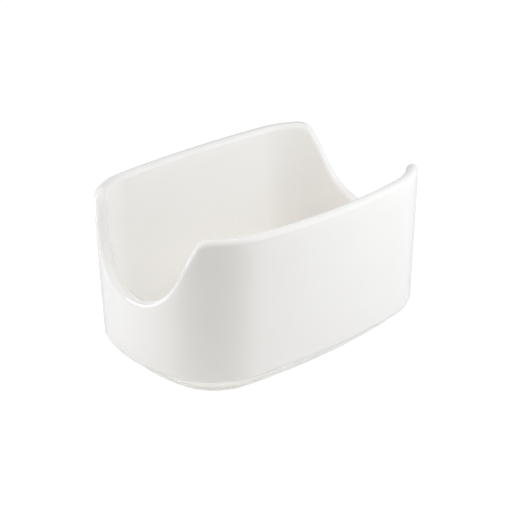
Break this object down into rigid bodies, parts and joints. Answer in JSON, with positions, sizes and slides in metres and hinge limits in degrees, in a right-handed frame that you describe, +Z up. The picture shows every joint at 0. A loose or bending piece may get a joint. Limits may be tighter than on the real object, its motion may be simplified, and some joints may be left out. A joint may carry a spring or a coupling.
{
  "type": "sugar packet holder",
  "caption": "White glazed porcelain tub on a low foot ring, its ends dipped into round finger scoops, that holds sugar packets standing on edge.",
  "frame": {"origin": "middle of the base, on the table", "axes": "+X along the length towards one scooped end, +Y towards one long side, +Z up"},
  "size_m": [0.1086, 0.0744, 0.0556],
  "materials": {
    "porcelain": "bare fired porcelain, matt",
    "glaze": "white, high gloss"
  },
  "bodies": {
    "root": {"porcelain_body": "porcelain", "glaze_coat": "glaze", "base_glaze": "glaze"}
  },
  "joints": []
}
